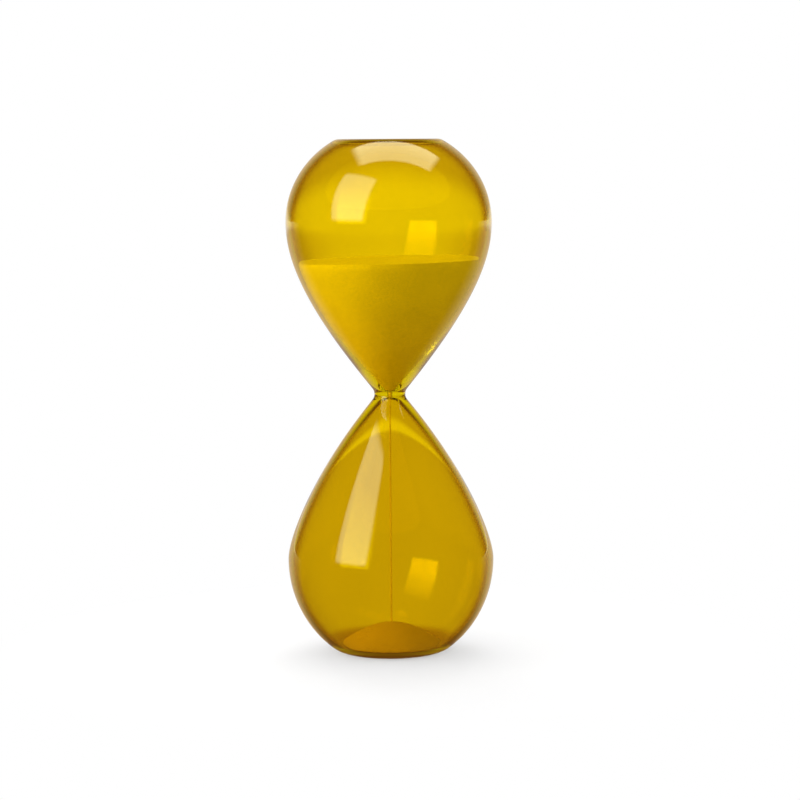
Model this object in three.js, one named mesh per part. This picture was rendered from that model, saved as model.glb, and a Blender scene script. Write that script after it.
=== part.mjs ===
// A frameless hourglass: two blown bulbs fused at a thick throat, a melted-in filling plug, and its sand.
// Millimetres, +Z up. The origin is the middle of the flat end that the timer stands on.
import * as THREE from 'three';

// Driving dimensions
// A bulb's lengths run from the waist plane. Past its widest ring its wall is an ellipse, which the flat end
// cuts off. The two reaches are Bezier handles that keep the wall upright at the widest ring, outside and
// inside. The lower bulb hung free while it was blown, so it came out a little longer and fuller at its end.
const upper = {
  radius: 45.5, length: 112.5, widestAt: 76, capSemiAxis: 42.3, shoulderReach: 18, innerShoulderReach: 18,
};
const lower = {
  radius: 45.7, length: 115, widestAt: 73.5, capSemiAxis: 48.5, shoulderReach: 9, innerShoulderReach: 8.6,
};
const wall = 2;
const endThickness = 3;

const waistRadius = 6.85;
const waistFillet = 4;
const flankAngle = THREE.MathUtils.degToRad(38.5); // between the axis and the wall beside the waist
const flankReach = 39.5; // Bezier handle that keeps the flank straight beside the throat

const orificeRadius = 0.75;
const funnelAngle = THREE.MathUtils.degToRad(45.5); // between the axis and the inside of the throat
const funnelBowlRadius = 4.2; // rounded bottom of the funnel around the orifice
const funnelBowlCentre = 6.1;
const innerFlankReach = 34.2;

const throatHalf = 6;
const meltGap = 0.3; // stands for a fused joint, so that the pieces stay separate solids
const fillHoleRadius = 5;
const fillHoleTaper = 0.5;
const sealRecess = 0.4;

const sandLevel = 59.5; // top of the charge above the waist plane
const sandGap = 0.45; // level distance between the sand and the glass
const sandTip = 0.35;
const streamRadius = 0.4;
const heapRadius = 22;
const heapHeight = 9;
const heapTipRadius = 3;

const segments = 40;
const curveSteps = 13;
const capSteps = 8;
const arcSteps = 4;
const sandSteps = 12;

const bulbStart = throatHalf + meltGap / 2;

const glass = new THREE.MeshStandardMaterial({ color: 0xe2bd00, roughness: 0.03, metalness: 0 });
const sealGlass = new THREE.MeshStandardMaterial({ color: 0xd8b000, roughness: 0.05, metalness: 0 });
const sand = new THREE.MeshStandardMaterial({ color: 0xcdb06a, roughness: 0.95, metalness: 0 });

// A turned piece whose outline is given as (radius, height) points, brought from the Y axis to +Z.
function turned(name, outline, material) {
  const geometry = new THREE.LatheGeometry(outline, segments);
  geometry.rotateX(Math.PI / 2);
  const mesh = new THREE.Mesh(geometry, material);
  mesh.name = name;
  return mesh;
}

// Outside of the wall on the straight stretch beside the waist, where it leaves the fillet.
function flankRadius(distance) {
  const filletRise = waistFillet * (1 - Math.cos(flankAngle));
  const filletEnd = waistFillet * Math.sin(flankAngle);
  return waistRadius + filletRise + (distance - filletEnd) * Math.tan(flankAngle);
}

// Inside of the throat above its rounded bowl.
function funnelRadius(distance) {
  const bowlEdgeRadius = funnelBowlRadius * Math.cos(funnelAngle);
  const bowlEdge = funnelBowlCentre - funnelBowlRadius * Math.sin(funnelAngle);
  return bowlEdgeRadius + (distance - bowlEdge) * Math.tan(funnelAngle);
}

// The wall from the throat to the widest ring.
function flankCurve(startRadius, angle, reach, endRadius, endHeight, endReach) {
  return new THREE.CubicBezierCurve(
    new THREE.Vector2(startRadius, bulbStart),
    new THREE.Vector2(startRadius + reach * Math.sin(angle), bulbStart + reach * Math.cos(angle)),
    new THREE.Vector2(endRadius, endHeight - endReach),
    new THREE.Vector2(endRadius, endHeight),
  );
}

function innerFlankCurve(bulb) {
  return flankCurve(
    funnelRadius(bulbStart), funnelAngle, innerFlankReach, bulb.radius - wall, bulb.widestAt,
    bulb.innerShoulderReach);
}

// The elliptical shoulder from the widest ring to the height where the flat end cuts it.
function shoulderPoints(radius, start, semiAxis, end) {
  const cutAngle = Math.asin((end - start) / semiAxis);
  const shoulder = new THREE.EllipseCurve(0, start, radius, semiAxis, 0, cutAngle, false);
  return shoulder.getPoints(capSteps).slice(1);
}

function outerOutline(bulb) {
  const flank = flankCurve(
    flankRadius(bulbStart), flankAngle, flankReach, bulb.radius, bulb.widestAt, bulb.shoulderReach);
  const shoulder = shoulderPoints(bulb.radius, bulb.widestAt, bulb.capSemiAxis, bulb.length);
  return [...flank.getPoints(curveSteps), ...shoulder];
}

function innerOutline(bulb) {
  const shoulder = shoulderPoints(
    bulb.radius - wall, bulb.widestAt, bulb.capSemiAxis - wall, bulb.length - endThickness);
  return [...innerFlankCurve(bulb).getPoints(curveSteps), ...shoulder];
}

// Radius of the upper hollow at a distance from the waist plane, on the funnel or on the flank.
function hollowRadius(distance) {
  if (distance <= bulbStart) {
    const bowlEdge = funnelBowlCentre - funnelBowlRadius * Math.sin(funnelAngle);
    if (distance >= bowlEdge) {
      return funnelRadius(distance);
    }
    const drop = funnelBowlCentre - distance;
    return Math.sqrt(Math.max(funnelBowlRadius ** 2 - drop ** 2, 0));
  }
  const innerFlank = innerFlankCurve(upper);
  let low = 0;
  let high = 1;
  while (high - low > 1e-6) {
    const middle = (low + high) / 2;
    if (innerFlank.getPoint(middle).y < distance) {
      low = middle;
    } else {
      high = middle;
    }
  }
  return innerFlank.getPoint(low).x;
}

// Both bulbs are made upright from the waist; the lower one is then turned over.
function upperBulb() {
  const outline = [
    new THREE.Vector2(0, upper.length - endThickness),
    ...innerOutline(upper).reverse(),
    ...outerOutline(upper),
    new THREE.Vector2(0, upper.length),
  ];
  return turned('upper_bulb', outline, glass);
}

function lowerBulb() {
  const holeInside = new THREE.Vector2(fillHoleRadius - fillHoleTaper, lower.length - endThickness);
  const outline = [
    holeInside,
    ...innerOutline(lower).reverse(),
    ...outerOutline(lower),
    new THREE.Vector2(fillHoleRadius, lower.length),
    holeInside.clone(),
  ];
  const mesh = turned('lower_bulb', outline, glass);
  mesh.rotation.x = Math.PI;
  return mesh;
}

// The fused waist: a spool outside, two funnels and the calibrated orifice inside.
function throat() {
  const end = throatHalf - meltGap / 2;
  const bowlEnd = -funnelAngle;
  const bowlStart = -Math.acos(orificeRadius / funnelBowlRadius);
  const waist = new THREE.EllipseCurve(
    waistRadius + waistFillet, 0, waistFillet, waistFillet, Math.PI + flankAngle, Math.PI - flankAngle, true);
  const bowl = new THREE.EllipseCurve(
    0, funnelBowlCentre, funnelBowlRadius, funnelBowlRadius, bowlStart, bowlEnd, false);
  const funnel = [...bowl.getPoints(arcSteps), new THREE.Vector2(funnelRadius(end), end)];
  const mirrored = funnel.map((point) => new THREE.Vector2(point.x, -point.y));
  const outline = [
    ...funnel.reverse(),
    ...mirrored,
    new THREE.Vector2(flankRadius(end), -end),
    ...waist.getPoints(2 * arcSteps),
    new THREE.Vector2(flankRadius(end), end),
    new THREE.Vector2(funnelRadius(end), end),
  ];
  return turned('throat', outline, glass);
}

// The plug melted into the filling hole, a little short of the standing face.
function fillSeal() {
  const sideGap = meltGap;
  const taperPerLength = fillHoleTaper / endThickness;
  const outline = [
    new THREE.Vector2(0, 0),
    new THREE.Vector2(fillHoleRadius - sideGap - sealRecess * taperPerLength, 0),
    new THREE.Vector2(fillHoleRadius - sideGap - fillHoleTaper, endThickness - sealRecess),
    new THREE.Vector2(0, endThickness - sealRecess),
  ];
  const mesh = turned('fill_seal', outline, sealGlass);
  mesh.position.z = sealRecess;
  return mesh;
}

// The sand still in the upper bulb: the hollow's own shape, brought in by the gap, under a level top.
function sandCharge() {
  const bottom = funnelBowlCentre - funnelBowlRadius + sandTip;
  const outline = [new THREE.Vector2(0, bottom)];
  for (let step = 1; step <= sandSteps; step += 1) {
    const distance = bottom + (sandLevel - bottom) * (step / sandSteps) ** 2;
    outline.push(new THREE.Vector2(hollowRadius(distance) - sandGap, distance));
  }
  outline.push(new THREE.Vector2(0, sandLevel));
  return turned('sand_charge', outline, sand);
}

// The heap: straight slopes with a rounded tip, on the floor of the lower bulb, where its own frame starts.
function sandHeap() {
  const slope = heapHeight / (heapRadius - heapTipRadius / 2);
  const outline = [
    new THREE.Vector2(0, 0),
    new THREE.Vector2(heapRadius, 0),
    new THREE.Vector2(heapTipRadius, slope * (heapRadius - heapTipRadius)),
    new THREE.Vector2(heapTipRadius / 2, heapHeight * 0.97),
    new THREE.Vector2(0, heapHeight),
  ];
  const mesh = turned('sand_heap', outline, sand);
  mesh.position.z = endThickness + meltGap;
  return mesh;
}

// The falling thread of sand, from inside the orifice to just above the heap.
function sandStream() {
  const bottom = endThickness + heapHeight + 2 * meltGap;
  const top = lower.length + funnelBowlCentre - funnelBowlRadius;
  const geometry = new THREE.CylinderGeometry(streamRadius, streamRadius, top - bottom, segments / 4);
  geometry.rotateX(Math.PI / 2);
  const mesh = new THREE.Mesh(geometry, sand);
  mesh.name = 'sand_stream';
  mesh.position.z = (bottom + top) / 2;
  return mesh;
}

const waistGroup = new THREE.Group();
waistGroup.position.z = lower.length;
waistGroup.add(upperBulb(), lowerBulb(), throat(), sandCharge());

const group = new THREE.Group();
group.add(waistGroup, fillSeal(), sandHeap(), sandStream());

export default group;
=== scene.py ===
import math

import bpy
from bpy.props import FloatProperty, FloatVectorProperty, IntProperty, PointerProperty
from bpy.types import Operator, Panel, PropertyGroup
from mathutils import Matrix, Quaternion, Vector


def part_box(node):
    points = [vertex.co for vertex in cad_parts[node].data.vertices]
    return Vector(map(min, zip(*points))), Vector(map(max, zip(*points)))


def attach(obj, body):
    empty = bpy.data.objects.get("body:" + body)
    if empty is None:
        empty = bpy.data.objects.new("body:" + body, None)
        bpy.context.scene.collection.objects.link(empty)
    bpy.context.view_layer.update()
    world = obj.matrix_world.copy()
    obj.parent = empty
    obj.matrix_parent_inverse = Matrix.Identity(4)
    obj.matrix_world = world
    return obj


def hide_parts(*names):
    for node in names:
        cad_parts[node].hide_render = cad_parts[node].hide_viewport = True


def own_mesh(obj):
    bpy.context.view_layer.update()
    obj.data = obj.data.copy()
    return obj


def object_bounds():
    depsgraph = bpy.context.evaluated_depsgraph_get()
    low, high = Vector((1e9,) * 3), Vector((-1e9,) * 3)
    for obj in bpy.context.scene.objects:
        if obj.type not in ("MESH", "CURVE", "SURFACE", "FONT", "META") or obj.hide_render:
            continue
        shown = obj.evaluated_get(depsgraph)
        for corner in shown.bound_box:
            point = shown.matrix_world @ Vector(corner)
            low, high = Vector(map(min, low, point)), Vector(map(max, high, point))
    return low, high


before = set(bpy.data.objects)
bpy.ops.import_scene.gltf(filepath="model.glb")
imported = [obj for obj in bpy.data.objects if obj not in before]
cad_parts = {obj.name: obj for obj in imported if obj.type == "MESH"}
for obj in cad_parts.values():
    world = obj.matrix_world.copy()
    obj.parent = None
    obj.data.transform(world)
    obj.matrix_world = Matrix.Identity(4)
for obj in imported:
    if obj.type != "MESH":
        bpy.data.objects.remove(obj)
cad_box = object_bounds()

bl_info = {
    "name": "Frameless Hourglass",
    "version": (1, 0, 0),
    "blender": (4, 5, 0),
    "location": "View3D > Sidebar > Hourglass",
    "description": "Blown bulbs, fused throat, melted seal and running sand of a frameless hourglass",
    "category": "Object",
}

MM = 0.001

# Places taken from the frame, in metres
TOP_Z = cad_box[1][2]
GUIDE_RADIUS = cad_box[1][0]
THROAT_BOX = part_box("throat")
WAIST_Z = (THROAT_BOX[0][2] + THROAT_BOX[1][2]) / 2
JOINT_REACH = (THROAT_BOX[1][2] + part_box("upper_bulb")[0][2]) / 2 - WAIST_Z
CHARGE_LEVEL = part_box("sand_charge")[1][2] - WAIST_Z
CHARGE_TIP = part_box("sand_charge")[0][2] - WAIST_Z
HEAP_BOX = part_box("sand_heap")
SEAL_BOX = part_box("fill_seal")
STREAM_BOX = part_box("sand_stream")


# Sizes and colours that a user would change

class GlassSizes(PropertyGroup):
    wall: FloatProperty(
        name="Wall", description="Thickness of the blown wall", default=2.0 * MM, unit="LENGTH")
    end_thickness: FloatProperty(
        name="End Thickness", description="Thickness of the flat ends", default=3.0 * MM, unit="LENGTH")
    waist_radius: FloatProperty(
        name="Waist Radius", description="Outer radius of the throat", default=6.85 * MM, unit="LENGTH")
    orifice_radius: FloatProperty(
        name="Orifice Radius", description="Radius of the metering hole", default=0.75 * MM, unit="LENGTH")
    edge_round: FloatProperty(
        name="Edge Round", description="Rounding where the wall meets a flat end", default=1.6 * MM,
        unit="LENGTH")
    waviness: FloatProperty(
        name="Waviness", description="How far the blown wall strays from round", default=0.05 * MM,
        unit="LENGTH")
    segments: IntProperty(name="Segments", description="Steps around the axis", default=144, min=24)
    tint: FloatVectorProperty(
        name="Glass Tint", description="What one face of the glass lets through, squared",
        subtype="COLOR", size=3, default=(0.955, 0.778, 0.0))
    rim_tint: FloatVectorProperty(
        name="Rim Tint", description="The same where the wall is seen edge on",
        subtype="COLOR", size=3, default=(0.52, 0.25, 0.0))


class SandSizes(PropertyGroup):
    wall_gap: FloatProperty(
        name="Wall Gap", description="Space between the sand and the glass", default=0.08 * MM, unit="LENGTH")
    rim_gap: FloatProperty(
        name="Rim Gap", description="How much wider that space gets at the top of the charge",
        default=0.8 * MM, unit="LENGTH")
    tilt: FloatProperty(
        name="Tilt", description="Slope of the charge's top towards +X", default=math.radians(1.0),
        subtype="ANGLE")
    grain: FloatProperty(
        name="Grain", description="Usual diameter of a grain", default=0.3 * MM, unit="LENGTH")
    grains: IntProperty(name="Grains", description="Loose grains on the top of the charge", default=2600)
    falling: IntProperty(name="Falling Grains", description="Grains in the falling thread", default=1500)
    colour: FloatVectorProperty(
        name="Sand Colour", description="Main colour of the sand", subtype="COLOR", size=3,
        default=(0.87, 0.66, 0.26))
    # Painted shade: the heap is the same sand as the charge, given a darker colour to stand for the shade it
    # lies in
    shaded_colour: FloatVectorProperty(
        name="Shaded Sand Colour", description="Colour of the sand in the lower bulb", subtype="COLOR",
        size=3, default=(0.50, 0.31, 0.11))
    # Painted shade: the falling thread is the same sand as the charge, given a darker colour to stand for
    # shade
    shaded_thread_colour: FloatVectorProperty(
        name="Thread Colour", description="Colour of the falling sand", subtype="COLOR",
        size=3, default=(0.72, 0.49, 0.16))


class StudioSizes(PropertyGroup):
    camera_distance: FloatProperty(
        name="Camera Distance", description="From the axis of the hourglass", default=1.15, unit="LENGTH")
    lens: FloatProperty(
        name="Lens", description="Focal length", default=117.25, unit="CAMERA")
    aim_height: FloatProperty(
        name="Aim Height", description="Height on the axis that the camera looks at", default=0.1122,
        unit="LENGTH")
    side_step: FloatProperty(
        name="Side Step", description="How far the camera stands to the right", default=4.48 * MM,
        unit="LENGTH")
    roll: FloatProperty(
        name="Roll", description="How far the camera is turned about its line of sight",
        default=math.radians(-0.38), subtype="ANGLE")
    key_power: FloatProperty(
        name="Key Softbox", description="Power of the front left softbox", default=17.0, unit="POWER")
    inside_power: FloatProperty(
        name="Inside Softbox", description="Power of the softbox that the far side of the glass mirrors",
        default=18.0, unit="POWER")
    top_power: FloatProperty(
        name="Top Softbox", description="Power of the overhead softbox", default=18.0, unit="POWER")
    left_power: FloatProperty(
        name="Left Fill", description="Power of the fill from the left", default=19.5, unit="POWER")
    right_power: FloatProperty(
        name="Right Fill", description="Power of the fill from the right", default=3.0, unit="POWER")
    back_power: FloatProperty(
        name="Back Light", description="Power of the light that comes over from behind", default=8.0,
        unit="POWER")
    room_light: FloatProperty(
        name="Room Light", description="Light that comes evenly from all round", default=0.78)


# Outlines, as (radius, distance from the waist plane) points in metres

UPPER = {
    "radius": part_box("upper_bulb")[1][0],
    "length": TOP_Z - WAIST_Z,
    "widest_at": 76.0 * MM,
    "cap_height": 42.3 * MM,
    "shoulder_reach": 18.0 * MM,
    "inner_shoulder_reach": 18.0 * MM,
    "end_share": 0.5,  # of the end thickness
    "round_share": 1.0,  # of the edge round
}
LOWER = {
    "radius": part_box("lower_bulb")[1][0],
    "length": WAIST_Z,
    "widest_at": 73.5 * MM,
    "cap_height": 48.5 * MM,
    "shoulder_reach": 9.0 * MM,
    "inner_shoulder_reach": 8.6 * MM,
    "end_share": 1.0,
    "round_share": 2.2,
}
FLANK_ANGLE = math.radians(38.5)
FLANK_REACH = 39.5 * MM
WAIST_FILLET = 4.0 * MM
FUNNEL_ANGLE = math.radians(45.5)
BOWL_RADIUS = 4.2 * MM
BOWL_CENTRE = 6.1 * MM
INNER_FLANK_REACH = 34.2 * MM
FILL_HOLE_RADIUS = 5.0 * MM
FILL_HOLE_TAPER = 0.5 * MM
MELT_GAP = 0.04 * MM

# Steps along the stretches of an outline
FLANK_STEPS = 64
SHOULDER_STEPS = 48
EDGE_STEPS = 6
BOWL_STEPS = 14
FUNNEL_STEPS = 4
WAIST_STEPS = 40
SPOOL_STEPS = 8


def bezier(points, steps):
    """Points along a cubic Bezier curve, both ends included."""
    line = []
    for step in range(steps + 1):
        t = step / steps
        weights = ((1 - t) ** 3, 3 * t * (1 - t) ** 2, 3 * t * t * (1 - t), t ** 3)
        line.append(tuple(sum(w * p[axis] for w, p in zip(weights, points)) for axis in (0, 1)))
    return line


def arc(centre, radii, start, end, steps):
    """Points along an ellipse between two angles, both ends included."""
    line = []
    for step in range(steps + 1):
        angle = start + (end - start) * step / steps
        line.append((centre[0] + radii[0] * math.cos(angle), centre[1] + radii[1] * math.sin(angle)))
    return line


def rounded(start, corner, end):
    """A short curve that takes the place of a corner."""
    third = [tuple(a + (b - a) * 2 / 3 for a, b in zip(side, corner)) for side in (start, end)]
    return bezier([start, third[0], third[1], end], EDGE_STEPS)


def flank_radius(sizes, distance):
    """Outside of the wall on the straight stretch beside the waist."""
    fillet_rise = WAIST_FILLET * (1 - math.cos(FLANK_ANGLE))
    fillet_end = WAIST_FILLET * math.sin(FLANK_ANGLE)
    return sizes.waist_radius + fillet_rise + (distance - fillet_end) * math.tan(FLANK_ANGLE)


def funnel_radius(distance):
    """Inside of the throat beyond its rounded bowl."""
    bowl_edge = BOWL_CENTRE - BOWL_RADIUS * math.sin(FUNNEL_ANGLE)
    return BOWL_RADIUS * math.cos(FUNNEL_ANGLE) + (distance - bowl_edge) * math.tan(FUNNEL_ANGLE)


def bulb_side(start_radius, angle, reach, bulb, shoulder_reach, depth, end_depth, edge_round):
    """One face of a bulb's wall, at a depth under its outside, with the edge of its flat end rounded."""
    radius = bulb["radius"] - depth
    cap_height = bulb["cap_height"] - depth
    widest_at = bulb["widest_at"]
    end = bulb["length"] - end_depth
    flank = bezier([
        (start_radius, JOINT_REACH),
        (start_radius + reach * math.sin(angle), JOINT_REACH + reach * math.cos(angle)),
        (radius, widest_at - shoulder_reach),
        (radius, widest_at),
    ], FLANK_STEPS)
    cut = math.asin((end - widest_at) / cap_height)
    shoulder = arc((0, widest_at), (radius, cap_height), 0, cut - edge_round / radius,
                   SHOULDER_STEPS)
    corner = (radius * math.cos(cut), end)
    edge = rounded(shoulder[-1], corner, (corner[0] - edge_round, end))
    return flank + shoulder[1:] + edge[1:]


def outer_side(sizes, bulb):
    return bulb_side(
        flank_radius(sizes, JOINT_REACH), FLANK_ANGLE, FLANK_REACH, bulb, bulb["shoulder_reach"],
        0, 0, sizes.edge_round * bulb["round_share"])


def inner_side(sizes, bulb):
    return bulb_side(
        funnel_radius(JOINT_REACH), FUNNEL_ANGLE, INNER_FLANK_REACH, bulb,
        bulb["inner_shoulder_reach"], sizes.wall, sizes.end_thickness * bulb["end_share"],
        2 * sizes.edge_round)


def flat(start, end, steps=6):
    """Points along a straight stretch, without its first point."""
    return [(start[0] + (end[0] - start[0]) * s / steps, start[1] + (end[1] - start[1]) * s / steps)
            for s in range(1, steps + 1)]


def upper_bulb_outline(sizes):
    inner = inner_side(sizes, UPPER)
    outer = outer_side(sizes, UPPER)
    floor = flat((0, inner[-1][1]), inner[-1])
    return [(0, inner[-1][1])] + floor[:-1] + inner[::-1] + outer + flat(outer[-1], (0, outer[-1][1]))


def lower_bulb_outline(sizes):
    inner = inner_side(sizes, LOWER)
    outer = outer_side(sizes, LOWER)
    hole_inside = (FILL_HOLE_RADIUS - FILL_HOLE_TAPER, inner[-1][1])
    hole_outside = (FILL_HOLE_RADIUS, outer[-1][1])
    floor = flat(hole_inside, inner[-1])
    wall = flat(hole_outside, hole_inside, 3)
    return [hole_inside] + floor[:-1] + inner[::-1] + outer + flat(outer[-1], hole_outside) + wall[:-1]


def throat_outline(sizes):
    """The spool between the bulbs, closed on itself."""
    bowl_start = -math.acos(sizes.orifice_radius / BOWL_RADIUS)
    bowl = arc((0, BOWL_CENTRE), (BOWL_RADIUS, BOWL_RADIUS), bowl_start, -FUNNEL_ANGLE, BOWL_STEPS)
    funnel = bowl + flat(bowl[-1], (funnel_radius(JOINT_REACH), JOINT_REACH), FUNNEL_STEPS)
    waist = arc(
        (sizes.waist_radius + WAIST_FILLET, 0), (WAIST_FILLET, WAIST_FILLET),
        math.pi + FLANK_ANGLE, math.pi - FLANK_ANGLE, WAIST_STEPS)
    flank_end = (flank_radius(sizes, JOINT_REACH), JOINT_REACH)
    upper_flank = flat(waist[-1], flank_end, SPOOL_STEPS)
    lower_flank = [(r, -z) for r, z in upper_flank][::-1]
    bore = flat(bowl[0], (bowl[0][0], -bowl[0][1]), SPOOL_STEPS)
    lower_funnel = [(r, -z) for r, z in funnel]
    return funnel[::-1] + bore[:-1] + lower_funnel + lower_flank + waist + upper_flank


def hollow_at(side, distance):
    """Radius of the hollow at a distance from the waist plane, by straight lines between outline points."""
    bowl_edge = BOWL_CENTRE - BOWL_RADIUS * math.sin(FUNNEL_ANGLE)
    if distance <= bowl_edge:
        return math.sqrt(max(BOWL_RADIUS ** 2 - (BOWL_CENTRE - distance) ** 2, 0))
    if distance <= JOINT_REACH:
        return funnel_radius(distance)
    for (r0, z0), (r1, z1) in zip(side, side[1:]):
        if z0 <= distance <= z1:
            return r0 + (r1 - r0) * (distance - z0) / (z1 - z0)
    raise ValueError(f"the bulb has no wall {distance} m from the waist")


# Geometry Nodes

WELD_DISTANCE = 0.002 * MM
HEIGHT_TOLERANCE = 0.001 * MM
CREASE = math.radians(35)
LEVEL_FACING = 0.7  # how far up a face looks where loose grains can lie
GRAIN_SIZES = (0.6, 1.3)  # of the usual diameter


def new_tree(name, inputs):
    """A geometry tree with a Geometry input and output, and a named input for each (name, type, default)."""
    tree = bpy.data.node_groups.new(name, "GeometryNodeTree")
    tree.interface.new_socket("Geometry", in_out="INPUT", socket_type="NodeSocketGeometry")
    tree.interface.new_socket("Geometry", in_out="OUTPUT", socket_type="NodeSocketGeometry")
    for label, kind, default in inputs:
        socket = tree.interface.new_socket(label, in_out="INPUT", socket_type=f"NodeSocket{kind}")
        if default is not None:
            socket.default_value = default
    return tree


class Wiring:
    """Adds nodes to a tree: each call makes one node, sets its options and feeds its inputs."""

    def __init__(self, tree):
        self.tree = tree

    def __call__(self, kind, feeds=(), output=0, **options):
        node = self.tree.nodes.new(kind)
        for option, value in options.items():
            setattr(node, option, value)
        for key, value in dict(feeds).items():
            socket = node.inputs[key]
            if isinstance(value, bpy.types.NodeSocket):
                self.tree.links.new(value, socket)
            else:
                socket.default_value = value
        return node.outputs[output]

    def math(self, operation, *values):
        return self("ShaderNodeMath", dict(enumerate(values)), operation=operation)

    def axes(self, vector):
        """The X, Y and Z of a vector."""
        split = self.tree.nodes.new("ShaderNodeSeparateXYZ")
        self.tree.links.new(vector, split.inputs[0])
        return split.outputs

    def vector(self, x=0.0, y=0.0, z=0.0):
        return self("ShaderNodeCombineXYZ", {0: x, 1: y, 2: z})

    def scaled(self, vector, factor):
        return self("ShaderNodeVectorMath", {0: vector, "Scale": factor}, operation="SCALE")

    def length(self, vector):
        return self("ShaderNodeVectorMath", {0: vector}, output="Value", operation="LENGTH")

    def noise(self, place, scale, detail):
        return self("ShaderNodeTexNoise", {"Vector": place, "Scale": scale, "Detail": detail})

    def ranged(self, value, start, end, low=0.0, high=1.0, soft=False):
        """Takes a value from the range start to end over to low to high, with soft ends if wanted."""
        return self("ShaderNodeMapRange", {
            "Value": value, "From Min": start, "From Max": end, "To Min": low, "To Max": high},
            interpolation_type="SMOOTHSTEP" if soft else "LINEAR")


class GeometryWiring(Wiring):
    """The same for a geometry tree, from its named inputs to its plain mesh."""

    def __init__(self, tree):
        super().__init__(tree)
        self.start = tree.nodes.new("NodeGroupInput")

    def given(self, label):
        return self.start.outputs[label]

    def random(self, low, high, seed):
        return self("FunctionNodeRandomValue", {2: low, 3: high, "Seed": seed}, output=1)

    def finish(self, geometry):
        real = self("GeometryNodeRealizeInstances", {0: geometry})
        end = self.tree.nodes.new("NodeGroupOutput")
        self.tree.links.new(real, end.inputs[0])


def grown(name, base, tree, values):
    """Runs a geometry tree on a base mesh and keeps the plain mesh that comes out."""
    piece = bpy.data.objects.new(name, base)
    bpy.context.scene.collection.objects.link(piece)
    modifier = piece.modifiers.new(tree.name, "NODES")
    modifier.node_group = tree
    for item in tree.interface.items_tree:
        if item.item_type == "SOCKET" and item.in_out == "INPUT" and item.name in values:
            modifier[item.identifier] = values[item.name]
    evaluated = piece.evaluated_get(bpy.context.evaluated_depsgraph_get())
    mesh = bpy.data.meshes.new_from_object(evaluated)
    piece.modifiers.remove(modifier)
    piece.data = mesh
    mesh.name = name
    if len(mesh.materials) > 1 and mesh.materials[-1] is None:
        mesh.materials.pop()
    if not mesh.polygons:
        raise RuntimeError(f"{name} came out empty")
    return piece


def outline_mesh(name, outline, upwards=1, closed=False):
    """A line of edges in the XY plane, X for the radius less that of the guide ring and Y for the height."""
    mesh = bpy.data.meshes.new(name)
    points = [(r - GUIDE_RADIUS, -(WAIST_Z + upwards * z), 0) for r, z in outline]
    if upwards < 0:
        points.reverse()
    edges = [(i, i + 1) for i in range(len(points) - 1)]
    if closed:
        edges.append((len(points) - 1, 0))
    mesh.from_pydata(points, edges, [])
    return mesh


def turning(wire, outline, segments):
    """Turns an outline once round the Z axis, and welds its ends on the axis."""
    ring = wire("GeometryNodeCurvePrimitiveCircle", {"Resolution": segments, "Radius": GUIDE_RADIUS})
    upright = wire("GeometryNodeSetCurveNormal", {0: ring}, mode="Z_UP")
    profile = wire("GeometryNodeMeshToCurve", {0: outline})
    shell = wire("GeometryNodeCurveToMesh", {"Curve": upright, "Profile Curve": profile})
    outward = wire("GeometryNodeFlipFaces", {0: shell})
    return wire("GeometryNodeMergeByDistance", {"Geometry": outward, "Distance": WELD_DISTANCE})


def soft_edges(wire, geometry):
    """Shades smooth, apart from edges sharper than the crease."""
    angle = wire("GeometryNodeInputMeshEdgeAngle")
    even = wire.math("LESS_THAN", angle, CREASE)
    faces = wire("GeometryNodeSetShadeSmooth", {0: geometry, "Shade Smooth": True}, domain="FACE")
    return wire("GeometryNodeSetShadeSmooth", {0: faces, "Shade Smooth": even}, domain="EDGE")


def blown_glass_tree():
    """Turns an outline into a blown piece: a little out of round, with its fused faces marked."""
    tree = new_tree("Blown Glass", [
        ("Segments", "Int", 144),
        ("Waviness", "Float", 0.0),
        ("Wave Size", "Float", 0.03),
        ("Waist Height", "Float", 0.0),
        ("Joint Reach", "Float", 0.0),
        ("Glass", "Material", None),
        ("Fused Face", "Material", None),
    ])
    wire = GeometryWiring(tree)
    shell = turning(wire, wire.given("Geometry"), wire.given("Segments"))
    place = wire("GeometryNodeInputPosition")
    x, y, z = wire.axes(place)
    outward = wire("ShaderNodeVectorMath", {0: wire.vector(x, y)}, operation="NORMALIZE")
    wave = wire.noise(place, wire.math("DIVIDE", 1.0, wire.given("Wave Size")), 0.0)
    width = wire.math("MULTIPLY", wire.given("Waviness"), 2.0)
    swing = wire.math("MULTIPLY", wire.math("SUBTRACT", wave, 0.5), width)
    shaped = wire("GeometryNodeSetPosition", {"Geometry": shell, "Offset": wire.scaled(outward, swing)})
    smooth = soft_edges(wire, shaped)
    glazed = wire("GeometryNodeSetMaterial", {"Geometry": smooth, "Material": wire.given("Glass")})
    reach = wire.math("ABSOLUTE", wire.math("SUBTRACT", z, wire.given("Waist Height")))
    at_joint = wire.math("COMPARE", reach, wire.given("Joint Reach"), HEIGHT_TOLERANCE)
    fused = wire("GeometryNodeSetMaterial", {
        "Geometry": glazed, "Selection": at_joint, "Material": wire.given("Fused Face")})
    wire.finish(fused)
    return tree


def join_sand(wire, *parts):
    """Joins bodies and grains of sand into one mesh with one material."""
    joined = wire.tree.nodes.new("GeometryNodeJoinGeometry")
    for part in parts:
        real = wire("GeometryNodeRealizeInstances", {0: part})
        sandy = wire("GeometryNodeSetMaterial", {"Geometry": real, "Material": wire.given("Sand")})
        wire.tree.links.new(sandy, joined.inputs[0])
    wire.finish(joined.outputs[0])


def single_grain(wire):
    """A rough ball of the usual diameter of a grain."""
    return wire("GeometryNodeMeshIcoSphere", {
        "Radius": wire.math("MULTIPLY", wire.given("Grain"), 0.5), "Subdivisions": 1})


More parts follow.
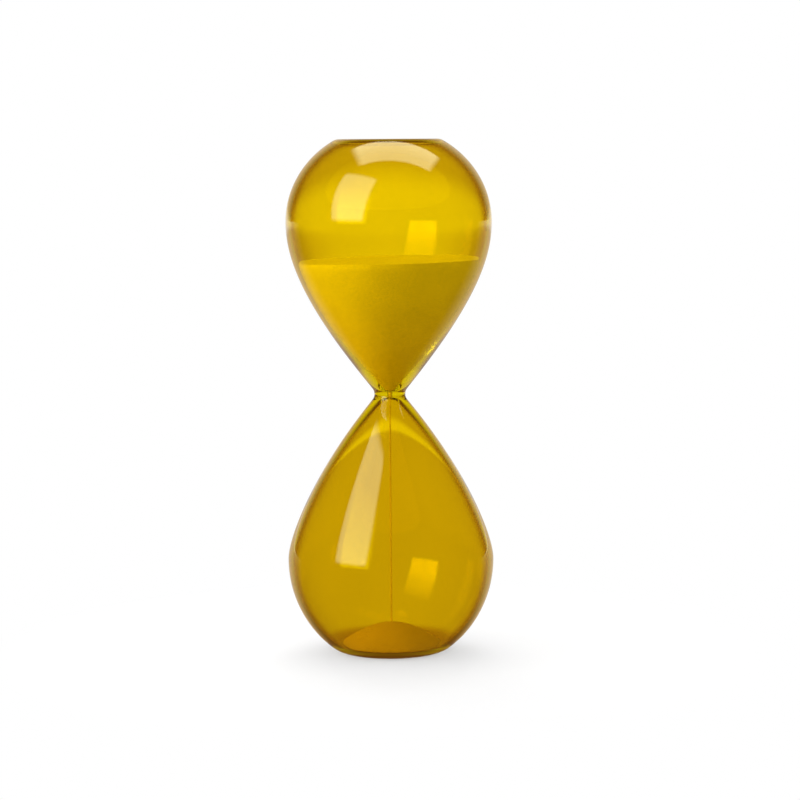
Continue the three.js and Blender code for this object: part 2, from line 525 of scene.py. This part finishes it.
def poured_sand_tree():
    """Turns an outline into a body of sand, tilts and roughens its top, and strews loose grains over it."""
    tree = new_tree("Poured Sand", [
        ("Segments", "Int", 144),
        ("Top Height", "Float", 0.0),
        ("Top Band", "Float", 0.001),
        ("Tilt", "Float", 0.0),
        ("Wall Slope", "Float", 0.0),
        ("Roughness", "Float", 0.0),
        ("Grain", "Float", 0.0003),
        ("Grain Count", "Int", 1000),
        ("Strewn Radius", "Float", 0.03),
        ("Seed", "Int", 1),
        ("Sand", "Material", None),
    ])
    wire = GeometryWiring(tree)
    body = turning(wire, wire.given("Geometry"), wire.given("Segments"))
    place = wire("GeometryNodeInputPosition")
    x, y, z = wire.axes(place)
    near_top = wire.ranged(wire.math("SUBTRACT", wire.given("Top Height"), z), wire.given("Top Band"), 0.0)
    slope = wire.math("MULTIPLY", x, wire.math("TANGENT", wire.given("Tilt")))
    dunes = wire.noise(place, 60.0, 4.0)
    bumps = wire.math("MULTIPLY", wire.math("SUBTRACT", dunes, 0.5), wire.given("Roughness"))
    lift = wire.math("MULTIPLY", wire.math("ADD", slope, bumps), near_top)
    widening = wire.math("DIVIDE", wire.math("MULTIPLY", lift, wire.given("Wall Slope")), GUIDE_RADIUS)
    shift = wire.vector(wire.math("MULTIPLY", x, widening), wire.math("MULTIPLY", y, widening), lift)
    shaped = wire("GeometryNodeSetPosition", {"Geometry": body, "Offset": shift})
    smooth = soft_edges(wire, shaped)
    facing = wire.axes(wire("GeometryNodeInputNormal"))
    level = wire.math("GREATER_THAN", facing[2], LEVEL_FACING)
    inside = wire.math("LESS_THAN", wire.length(wire.vector(x, y)), wire.given("Strewn Radius"))
    area = wire.math("MULTIPLY", wire.math("POWER", wire.given("Strewn Radius"), 2.0), math.pi)
    spots = wire("GeometryNodeDistributePointsOnFaces", {
        "Mesh": smooth,
        "Selection": wire.math("MULTIPLY", level, inside),
        "Density": wire.math("DIVIDE", wire.given("Grain Count"), area),
        "Seed": wire.given("Seed"),
    })
    grain = single_grain(wire)
    size = wire.random(*GRAIN_SIZES, wire.given("Seed"))
    strewn = wire("GeometryNodeInstanceOnPoints", {
        "Points": spots, "Instance": grain, "Scale": wire.vector(size, size, size)})
    join_sand(wire, strewn, smooth)
    return tree


def falling_sand_tree():
    """A thin thread of sand that loosens as it falls, with single grains around it."""
    tree = new_tree("Falling Sand", [
        ("Top", "Float", 0.1),
        ("Bottom", "Float", 0.0),
        ("Thread Radius", "Float", 0.0003),
        ("Spread", "Float", 0.001),
        ("Grain", "Float", 0.0003),
        ("Grain Count", "Int", 500),
        ("Seed", "Int", 1),
        ("Sand", "Material", None),
    ])
    wire = GeometryWiring(tree)
    thread = wire("GeometryNodeCurvePrimitiveLine", {
        "Start": wire.vector(z=wire.given("Bottom")), "End": wire.vector(z=wire.given("Top"))})
    steps = wire("GeometryNodeResampleCurve", {"Curve": thread, "Count": 140})
    ring = wire("GeometryNodeCurvePrimitiveCircle", {
        "Resolution": 10, "Radius": wire.given("Thread Radius")})
    core = wire("GeometryNodeCurveToMesh", {"Curve": steps, "Profile Curve": ring, "Fill Caps": True})
    place = wire("GeometryNodeInputPosition")
    x, y, _ = wire.axes(place)
    swell = wire.math("MULTIPLY_ADD", wire.noise(place, 900.0, 2.0), 0.9, -0.55)
    knobbly = wire("GeometryNodeSetPosition", {
        "Geometry": core, "Offset": wire.scaled(wire.vector(x, y), swell)})
    points = wire("GeometryNodePoints", {"Count": wire.given("Grain Count")})
    drop = wire.random(0.0, 1.0, wire.given("Seed"))
    angle = wire.random(0.0, math.tau, wire.math("ADD", wire.given("Seed"), 1.0))
    stray = wire.random(0.0, 1.0, wire.math("ADD", wire.given("Seed"), 2.0))
    loosened = wire.math("MULTIPLY", wire.math("POWER", stray, 2.0), drop)
    core_width = wire.math("MULTIPLY", wire.given("Thread Radius"), 0.8)
    width = wire.math("MULTIPLY_ADD", loosened, wire.given("Spread"), core_width)
    fall = wire.math("SUBTRACT", wire.given("Bottom"), wire.given("Top"))
    height = wire.math("MULTIPLY_ADD", fall, drop, wire.given("Top"))
    spot = wire.vector(
        wire.math("MULTIPLY", wire.math("COSINE", angle), width),
        wire.math("MULTIPLY", wire.math("SINE", angle), width),
        height)
    spread = wire("GeometryNodeSetPosition", {"Geometry": points, "Position": spot})
    grains = wire("GeometryNodeInstanceOnPoints", {"Points": spread, "Instance": single_grain(wire)})
    join_sand(wire, grains, soft_edges(wire, knobbly))
    return tree


# Materials

VEIL = (0.80, 0.80, 0.80, 1)  # what one face of the glass lets through of the light that falls on the sand
GLASS_IOR = 1.49
EDGE_ON = (0.58, 0.80)  # how far a face looks away where the rim's tint begins, and where it is full
# Painted shade in part: the deeper tint near the foot stands for the thicker glass there and for the shadowed
# floor seen through it
FOOT_HEIGHT = (6.0 * MM, 3.0 * MM)
FOOT_TINT_AND_SHADE = 0.8  # share of the rim's tint in the thick foot
GRAIN_SCALE = 3200.0
# Painted shade: the sand is darkened and warmed from the top of the charge down to the waist, for how the
# light falls there
PAINTED_LOW_SHADE = (1.0, 0.86, 0.7)  # what is left of the sand's colour from the waist down


class ShaderWiring(Wiring):
    """The same for a shader tree."""

    def place(self):
        return self("ShaderNodeTexCoord", output="Object")

    def ray(self, kind):
        """What the light path says of the ray that is being followed."""
        return self("ShaderNodeLightPath", output=kind)

    def blend(self, factor, first, second):
        """Mixes two colours."""
        return self("ShaderNodeMix", {0: factor, 6: first, 7: second}, output=2, data_type="RGBA")

    def mix(self, factor, first, second):
        """Mixes two shaders."""
        return self("ShaderNodeMixShader", {0: factor, 1: first, 2: second})


def blank_material(name):
    material = bpy.data.materials.new(name)
    material.use_nodes = True
    material.node_tree.nodes.clear()
    return material, ShaderWiring(material.node_tree)


def shade(material, surface):
    output = material.node_tree.nodes.new("ShaderNodeOutputMaterial")
    material.node_tree.links.new(surface, output.inputs["Surface"])
    return material


def tinted_glass(name, tint, rim_tint):
    """Clear tinted glass. Lamps and the room's light reach the sand through it as through a thin veil."""
    material, wire = blank_material(name)
    place = wire.place()
    streaks = wire("ShaderNodeMapping", {"Vector": place, "Scale": (1.0, 1.0, 0.35)})
    strength = wire.ranged(wire.noise(streaks, 45.0, 2.0), 0.3, 0.7, 0.97, 1.0)
    facing = wire("ShaderNodeLayerWeight", {"Blend": 0.5}, output="Facing")
    rim = wire.ranged(facing, *EDGE_ON, soft=True)
    # Deeper tint near the foot: thicker glass, plus painted shade for the shadowed floor seen through it
    foot = wire.ranged(wire.axes(place)[2], *FOOT_HEIGHT, 0.0, FOOT_TINT_AND_SHADE, soft=True)
    depth = wire.blend(wire.math("MAXIMUM", rim, foot), (*tint, 1), (*rim_tint, 1))
    roughness = wire.ranged(wire.noise(place, 220.0, 3.0), 0.45, 0.8, 0.0, 0.04)
    normal = wire("ShaderNodeBump", {
        "Height": wire.noise(streaks, 70.0, 1.0), "Strength": 0.06, "Distance": 0.4 * MM})
    glass = wire("ShaderNodeBsdfPrincipled", {
        "Base Color": wire.scaled(depth, strength), "Roughness": roughness, "Normal": normal,
        "IOR": GLASS_IOR, "Transmission Weight": 1.0})
    thin = wire("ShaderNodeBsdfTransparent", {"Color": VEIL})
    lit = wire.mix(wire.ray("Is Diffuse Ray"), glass, thin)
    return shade(material, wire.mix(wire.ray("Is Shadow Ray"), lit, thin))


def fused_face(name):
    """The faces where two pieces of glass have melted together: nothing shows there."""
    material, wire = blank_material(name)
    return shade(material, wire("ShaderNodeBsdfTransparent"))


def dry_sand(name, colour):
    """Fine dry sand with a dull powdery surface: grains of uneven shade, and painted shade that makes it
    darker and warmer towards the waist.
    """
    material, wire = blank_material(name)
    place = wire.place()
    grains = wire("ShaderNodeTexVoronoi", {"Vector": place, "Scale": GRAIN_SCALE}, output="Color")
    pick = wire("ShaderNodeSeparateColor", {0: grains})
    spread = wire.ranged(pick, 0.0, 1.0, 0.84, 1.06)
    patch = wire.ranged(wire.noise(place, 70.0, 4.0), 0.3, 0.7, 0.95, 1.03)
    # Painted shade by height, from the top of the charge down to the waist
    level = wire.ranged(wire.axes(place)[2], WAIST_Z, WAIST_Z + CHARGE_LEVEL, soft=True)
    warm = tuple(channel * share for channel, share in zip(colour, PAINTED_LOW_SHADE))
    depth = wire.blend(level, (*warm, 1), (*colour, 1))
    body = wire.scaled(depth, wire.math("MULTIPLY", spread, patch))
    hills = wire("ShaderNodeTexVoronoi", {"Vector": place, "Scale": GRAIN_SCALE}, output="Distance")
    normal = wire("ShaderNodeBump", {"Height": hills, "Strength": 0.35, "Distance": 0.2 * MM})
    return shade(material, wire("ShaderNodeBsdfPrincipled", {
        "Base Color": body, "Roughness": wire.ranged(pick, 0.0, 1.0, 0.75, 1.0), "Normal": normal,
        "Specular IOR Level": 0.3}))


def made(name, build, *colours):
    """A material that several pieces share, made the first time it is asked for."""
    return bpy.data.materials.get(name) or build(name, *(tuple(colour) for colour in colours))


# Pieces

WAVE_SIZE = 0.03
SEAL_DIMPLE = 0.5 * MM
SEAL_STEPS = 10
CHARGE_STEPS = 90
CHARGE_TOP_STEPS = 40
TIP_SINK = 0.2 * MM  # how much deeper the sand reaches into the funnel than its frame solid
CRUMBLED_BAND = 4.0 * MM  # height under the top where the charge draws back from the wall
HEAP_STEPS = 40
HEAP_SEGMENTS = 96
HEAP_BULGE = 1.8  # 1 for straight slopes, more for a rounder heap
THREAD_RADIUS = 0.26 * MM
THREAD_SPREAD = 0.7 * MM


def blow(context, name, outline, node, upwards=1, closed=False):
    """Makes one piece of the glass body from its outline and puts it in the place of its CAD node."""
    sizes = context.scene.hourglass_glass
    tree = bpy.data.node_groups.get("Blown Glass") or blown_glass_tree()
    piece = grown(name, outline_mesh(name, outline, upwards, closed), tree, {
        "Segments": sizes.segments,
        "Waviness": sizes.waviness,
        "Wave Size": WAVE_SIZE,
        "Waist Height": WAIST_Z,
        "Joint Reach": JOINT_REACH,
        "Glass": made("tinted glass", tinted_glass, sizes.tint, sizes.rim_tint),
        "Fused Face": made("fused glass face", fused_face),
    })
    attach(piece, "glass_vessel")
    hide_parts(node)
    return piece


class HOURGLASS_OT_blow_bulbs(Operator):
    """Blow the two bulbs"""

    bl_idname = "hourglass.blow_bulbs"
    bl_label = "Blow Bulbs"

    def execute(self, context):
        sizes = context.scene.hourglass_glass
        blow(context, "blown_upper_bulb", upper_bulb_outline(sizes), "upper_bulb")
        blow(context, "blown_lower_bulb", lower_bulb_outline(sizes), "lower_bulb", upwards=-1, closed=True)
        return {"FINISHED"}


class HOURGLASS_OT_fuse_throat(Operator):
    """Fuse the thick throat with its metering hole between the bulbs"""

    bl_idname = "hourglass.fuse_throat"
    bl_label = "Fuse Throat"

    def execute(self, context):
        sizes = context.scene.hourglass_glass
        blow(context, "fused_throat", throat_outline(sizes), "throat", closed=True)
        return {"FINISHED"}


class HOURGLASS_OT_melt_seal(Operator):
    """Melt the plug into the filling hole"""

    bl_idname = "hourglass.melt_seal"
    bl_label = "Melt Seal"

    def execute(self, context):
        sizes = context.scene.hourglass_glass
        bottom, top = SEAL_BOX[0][2], SEAL_BOX[1][2]
        slope = FILL_HOLE_TAPER / sizes.end_thickness
        low_radius = FILL_HOLE_RADIUS - MELT_GAP - bottom * slope
        high_radius = FILL_HOLE_RADIUS - MELT_GAP - top * slope
        foot = arc((0, bottom), (low_radius * 0.8, SEAL_DIMPLE), math.pi / 2, 0, SEAL_STEPS)
        crown = arc((0, top - SEAL_DIMPLE), (high_radius, SEAL_DIMPLE), 0, math.pi / 2, SEAL_STEPS)
        outline = [(r, z - WAIST_Z) for r, z in foot + [(low_radius, bottom)] + crown]
        blow(context, "melted_seal", outline, "fill_seal")
        return {"FINISHED"}


class HOURGLASS_OT_fill_charge(Operator):
    """Fill the upper bulb with its charge of sand"""

    bl_idname = "hourglass.fill_charge"
    bl_label = "Fill Charge"

    def execute(self, context):
        sizes = context.scene.hourglass_sand
        side = inner_side(context.scene.hourglass_glass, UPPER)
        tip = CHARGE_TIP - TIP_SINK
        outline = [(0, tip)]
        for step in range(1, CHARGE_STEPS + 1):
            distance = tip + (CHARGE_LEVEL - tip) * (step / CHARGE_STEPS) ** 1.5
            crumbled = max(0, 1 - (CHARGE_LEVEL - distance) / CRUMBLED_BAND) ** 2
            gap = sizes.wall_gap + sizes.rim_gap * crumbled
            outline.append((hollow_at(side, distance) - gap, distance))
        rim = outline[-1]
        wall_slope = (hollow_at(side, CHARGE_LEVEL) - hollow_at(side, CHARGE_LEVEL - MM)) / MM
        outline += flat(rim, (0, CHARGE_LEVEL), CHARGE_TOP_STEPS)
        tree = bpy.data.node_groups.get("Poured Sand") or poured_sand_tree()
        piece = grown("poured_charge", outline_mesh("poured_charge", outline), tree, {
            "Segments": context.scene.hourglass_glass.segments,
            "Top Height": WAIST_Z + CHARGE_LEVEL,
            "Top Band": 2.0 * MM,
            "Tilt": sizes.tilt,
            "Wall Slope": wall_slope * GUIDE_RADIUS / rim[0],
            "Roughness": 0.8 * MM,
            "Grain": sizes.grain,
            "Grain Count": sizes.grains,
            "Strewn Radius": rim[0] - sizes.grain,
            "Seed": 11,
            "Sand": made("dry sand", dry_sand, sizes.colour),
        })
        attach(piece, "upper_sand")
        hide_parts("sand_charge")
        return {"FINISHED"}


class HOURGLASS_OT_pile_heap(Operator):
    """Pile the fallen sand on the floor of the lower bulb"""

    bl_idname = "hourglass.pile_heap"
    bl_label = "Pile Heap"

    def execute(self, context):
        sizes = context.scene.hourglass_sand
        bottom, top, radius = HEAP_BOX[0][2], HEAP_BOX[1][2], HEAP_BOX[1][0]
        outline = [(0, bottom - WAIST_Z), (radius, bottom - WAIST_Z)]
        for step in range(1, HEAP_STEPS + 1):
            share = 1 - step / HEAP_STEPS
            height = bottom + (top - bottom) * (1 - share ** HEAP_BULGE)
            outline.append((radius * share, height - WAIST_Z))
        tree = bpy.data.node_groups.get("Poured Sand") or poured_sand_tree()
        piece = grown("piled_heap", outline_mesh("piled_heap", outline), tree, {
            "Segments": HEAP_SEGMENTS,
            "Top Height": top,
            "Top Band": top - bottom,
            "Tilt": 0.0,
            "Roughness": 0.5 * MM,
            "Grain": sizes.grain,
            "Grain Count": sizes.grains,
            "Strewn Radius": radius * 0.96,
            "Seed": 23,
            # The heap's darker colour is painted shade, not a different sand
            "Sand": made("shaded sand", dry_sand, sizes.shaded_colour),
        })
        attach(piece, "lower_sand")
        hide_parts("sand_heap")
        return {"FINISHED"}


class HOURGLASS_OT_pour_thread(Operator):
    """Pour the thread of sand that falls through the orifice"""

    bl_idname = "hourglass.pour_thread"
    bl_label = "Pour Thread"

    def execute(self, context):
        sizes = context.scene.hourglass_sand
        base = bpy.data.meshes.new("falling_thread")
        piece = grown("falling_thread", base, falling_sand_tree(), {
            "Top": STREAM_BOX[1][2],
            "Bottom": STREAM_BOX[0][2],
            "Thread Radius": THREAD_RADIUS,
            "Spread": THREAD_SPREAD,
            "Grain": sizes.grain * 0.8,
            "Grain Count": sizes.falling,
            "Seed": 5,
            # The thread's darker colour is painted shade, not a different sand
            "Sand": made("falling sand", dry_sand, sizes.shaded_thread_colour),
        })
        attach(piece, "glass_vessel")
        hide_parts("sand_stream")
        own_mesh(piece)
        return {"FINISHED"}


# Stage

WHITE = (1, 1, 1, 1)
SOFTBOX_COLOUR = (1.0, 0.97, 0.62)
SOFTBOX_EDGE = 0.11  # width of a softbox's soft edge, as a share of its side
KEY_FACING = (0.607, 0.656, -0.447)
FILL_SIZE = (0.8, 0.8)
LIGHT_BOUNCES = 32

# What the glass sees of the room: warm ahead, and brown at the sides where it mirrors
FAR_WARMTH = (0.69, 0.61, 0.5, 1)
SIDE_BROWN = (0.15, 0.065, 0.02, 1)
WARM_RISE = (-0.01, 0.04)  # upward directions between which white gives way to the warmth
BACKDROP_EDGE = (0.72, 0.98)  # forward directions between which brown gives way to the backdrop

# The floor: distances from the foot in metres, and forward directions
PAPER = (0.76, 0.76, 0.76, 1)
PAPER_EDGE = (0.075, 0.18)
FLOOR_LIGHT = (1, 0.98, 0.94, 1)
FLOOR_LIGHT_STRENGTH = 0.74
WHITE_FLOOR_EDGE = (2.2, 4.2)
FLOOR_BACKDROP_EDGE = (0.4, 0.93)
FLOOR_MIDDLE = 0.04  # keeps the directions smooth under the foot
FLOOR_HALF = 12.0


def add_camera(sizes):
    data = bpy.data.cameras.new("camera")
    data.lens = sizes.lens
    data.sensor_width = 36.0
    data.clip_end = 50.0
    camera = bpy.data.objects.new("camera", data)
    camera.location = (sizes.side_step, -sizes.camera_distance, TOP_Z)
    aim = Vector((sizes.side_step, 0, sizes.aim_height))
    level = (aim - camera.location).to_track_quat("-Z", "Y")
    camera.rotation_euler = (level @ Quaternion((0, 0, 1), sizes.roll)).to_euler()
    bpy.context.scene.collection.objects.link(camera)
    bpy.context.scene.camera = camera


def add_lamp(name, place, size, power, facing=None):
    """A rectangular area light that faces the waist, or in a given direction."""
    data = bpy.data.lights.new(name, "AREA")
    data.shape = "RECTANGLE"
    data.size, data.size_y = size
    data.energy = power
    lamp = bpy.data.objects.new(name, data)
    lamp.location = place
    towards = Vector(facing) if facing else Vector((0, 0, WAIST_Z)) - lamp.location
    lamp.rotation_euler = towards.to_track_quat("-Z", "Y").to_euler()
    lamp.visible_camera = False
    bpy.context.scene.collection.objects.link(lamp)
    return lamp


def add_softbox(name, place, size, power, facing, inside=False):
    """A softbox with soft edges, which only the outside of the glass mirrors, or only its far side."""
    softbox = add_lamp(name, place, size, power, facing)
    softbox.data.color = SOFTBOX_COLOUR
    softbox.visible_diffuse = False
    softbox.visible_glossy = not inside
    softbox.visible_transmission = inside
    softbox.data.use_nodes = True
    tree = softbox.data.node_tree
    wire = ShaderWiring(tree)
    across, up, _ = wire.axes(wire("ShaderNodeNewGeometry", output="Parametric"))
    fades = [
        wire.ranged(wire.math("PINGPONG", side, 0.5), 0.0, SOFTBOX_EDGE, soft=True) for side in (across, up)
    ]
    if inside:
        mirrored = wire.math("GREATER_THAN", wire.ray("Glossy Depth"), 0.5)
        fades[0] = wire.math("MULTIPLY", fades[0], mirrored)
        fades[1] = wire.math("MULTIPLY", fades[1], wire.ranged(up, 0.3, 1.0, 1.0, 0.0))
    tree.links.new(wire.math("MULTIPLY", *fades), tree.nodes["Emission"].inputs["Strength"])


def add_fill(name, place, power, size=FILL_SIZE, shadow=False):
    """A lamp that lights the sand and the floor, and isn't mirrored."""
    fill = add_lamp(name, place, size, power)
    fill.data.use_shadow = shadow
    fill.visible_glossy = False
    fill.visible_transmission = False


def seen_by_glass(wire, ahead, backdrop):
    """What the glass lets through is the same all round. What it mirrors is brown beside the backdrop."""
    mirrored = wire.blend(backdrop, SIDE_BROWN, ahead)
    return wire.blend(wire.math("LESS_THAN", wire.ray("Glossy Depth"), 0.5), mirrored, ahead)


def studio_room(sizes):
    """White to the camera, an even light for the sand, and a warm grey above the horizon for the glass."""
    world = bpy.data.worlds.new("studio")
    world.use_nodes = True
    tree = world.node_tree
    tree.nodes.clear()
    wire = ShaderWiring(tree)
    _, forward, upward = wire.axes(wire("ShaderNodeTexCoord", output="Generated"))
    ahead = wire.blend(wire.ranged(upward, *WARM_RISE, soft=True), WHITE, FAR_WARMTH)
    around = seen_by_glass(wire, ahead, wire.ranged(forward, *BACKDROP_EDGE, soft=True))
    room = sizes.room_light
    lighting = wire.blend(wire.ray("Is Diffuse Ray"), around, (room, room, room, 1))
    colour = wire.blend(wire.ray("Is Camera Ray"), lighting, WHITE)
    background = wire("ShaderNodeBackground", {"Color": colour, "Strength": 1.0})
    output = tree.nodes.new("ShaderNodeOutputWorld")
    tree.links.new(background, output.inputs["Surface"])
    bpy.context.scene.world = world


def pale_floor():
    """A plain floor: pale paper around the foot, and from there on as white as the room, with no horizon."""
    material, wire = blank_material("pale floor")
    place = wire.place()
    reach = wire.length(place)
    paper = wire("ShaderNodeBsdfDiffuse", {"Color": PAPER})
    bright = wire("ShaderNodeEmission", {"Color": WHITE, "Strength": 1.0})
    seen = wire.mix(wire.ranged(reach, *PAPER_EDGE, soft=True), paper, bright)
    ahead = wire.blend(wire.ranged(reach, *WHITE_FLOOR_EDGE, soft=True), FAR_WARMTH, WHITE)
    forward = wire.math(
        "DIVIDE", wire.math("ADD", wire.axes(place)[1], FLOOR_MIDDLE), wire.math("ADD", reach, FLOOR_MIDDLE))
    around = seen_by_glass(wire, ahead, wire.ranged(forward, *FLOOR_BACKDROP_EDGE, soft=True))
    beyond = wire("ShaderNodeEmission", {"Color": around, "Strength": 1.0})
    bounced = wire("ShaderNodeEmission", {"Color": FLOOR_LIGHT, "Strength": FLOOR_LIGHT_STRENGTH})
    through = wire.mix(wire.ray("Is Diffuse Ray"), beyond, bounced)
    shade(material, wire.mix(wire.ray("Is Camera Ray"), through, seen))
    half = FLOOR_HALF
    corners = [(-half, -half, 0), (half, -half, 0), (half, half, 0), (-half, half, 0)]
    mesh = bpy.data.meshes.new("floor")
    mesh.from_pydata(corners, [], [(0, 1, 2, 3)])
    mesh.materials.append(material)
    floor = bpy.data.objects.new("floor", mesh)
    bpy.context.scene.collection.objects.link(floor)


class HOURGLASS_OT_set_stage(Operator):
    """Set the camera, the softboxes, the room and the floor"""

    bl_idname = "hourglass.set_stage"
    bl_label = "Set Stage"

    def execute(self, context):
        sizes = context.scene.hourglass_studio
        add_camera(sizes)
        add_softbox(
            "front_left_softbox", place=(-0.751, -0.680, 0.821), size=(0.92, 1.34),
            power=sizes.key_power, facing=KEY_FACING)
        add_softbox(
            "low_left_softbox", place=(-0.757, -0.819, 0.609), size=(0.90, 1.04),
            power=sizes.inside_power, facing=KEY_FACING, inside=True)
        add_softbox(
            "overhead_softbox", place=(0.15, 0.20, 1.3), size=(1.38, 0.78),
            power=sizes.top_power, facing=(0, 0, -1))
        add_fill("left_fill", (-1.2, -0.35, 0.5), sizes.left_power)
        add_fill("right_fill", (1.0, -0.8, 0.5), sizes.right_power)
        add_fill("back_light", (0.0, 0.9, 1.0), sizes.back_power, size=(1.2, 0.8), shadow=True)
        studio_room(sizes)
        pale_floor()
        scene = context.scene
        scene.view_settings.view_transform = "Standard"
        for kind in ("transparent_max_bounces", "transmission_bounces", "glossy_bounces", "max_bounces"):
            setattr(scene.cycles, kind, LIGHT_BOUNCES)
        return {"FINISHED"}


class HOURGLASS_PT_bench(Panel):
    """Lists the sizes, and the steps in the order of making"""

    bl_idname = "HOURGLASS_PT_bench"
    bl_label = "Hourglass"
    bl_space_type = "VIEW_3D"
    bl_region_type = "UI"
    bl_category = "Hourglass"

    def draw(self, context):
        for group in (context.scene.hourglass_glass, context.scene.hourglass_sand,
                      context.scene.hourglass_studio):
            box = self.layout.box()
            for label in type(group).__annotations__:
                box.prop(group, label)
        for step in STEPS:
            self.layout.operator(step.bl_idname)


STEPS = (
    HOURGLASS_OT_set_stage,
    HOURGLASS_OT_blow_bulbs,
    HOURGLASS_OT_fuse_throat,
    HOURGLASS_OT_melt_seal,
    HOURGLASS_OT_fill_charge,
    HOURGLASS_OT_pile_heap,
    HOURGLASS_OT_pour_thread,
)
GROUPS = {
    "hourglass_glass": GlassSizes,
    "hourglass_sand": SandSizes,
    "hourglass_studio": StudioSizes,
}


def register():
    for cls in (*GROUPS.values(), *STEPS, HOURGLASS_PT_bench):
        bpy.utils.register_class(cls)
    for name, group in GROUPS.items():
        setattr(bpy.types.Scene, name, PointerProperty(type=group))


def unregister():
    for name in GROUPS:
        delattr(bpy.types.Scene, name)
    for cls in reversed((*GROUPS.values(), *STEPS, HOURGLASS_PT_bench)):
        bpy.utils.unregister_class(cls)


def main():
    register()
    bpy.ops.hourglass.set_stage()
    bpy.ops.hourglass.blow_bulbs()
    bpy.ops.hourglass.fuse_throat()
    bpy.ops.hourglass.melt_seal()
    bpy.ops.hourglass.fill_charge()
    bpy.ops.hourglass.pile_heap()
    bpy.ops.hourglass.pour_thread()


if __name__ == "__main__":
    main()
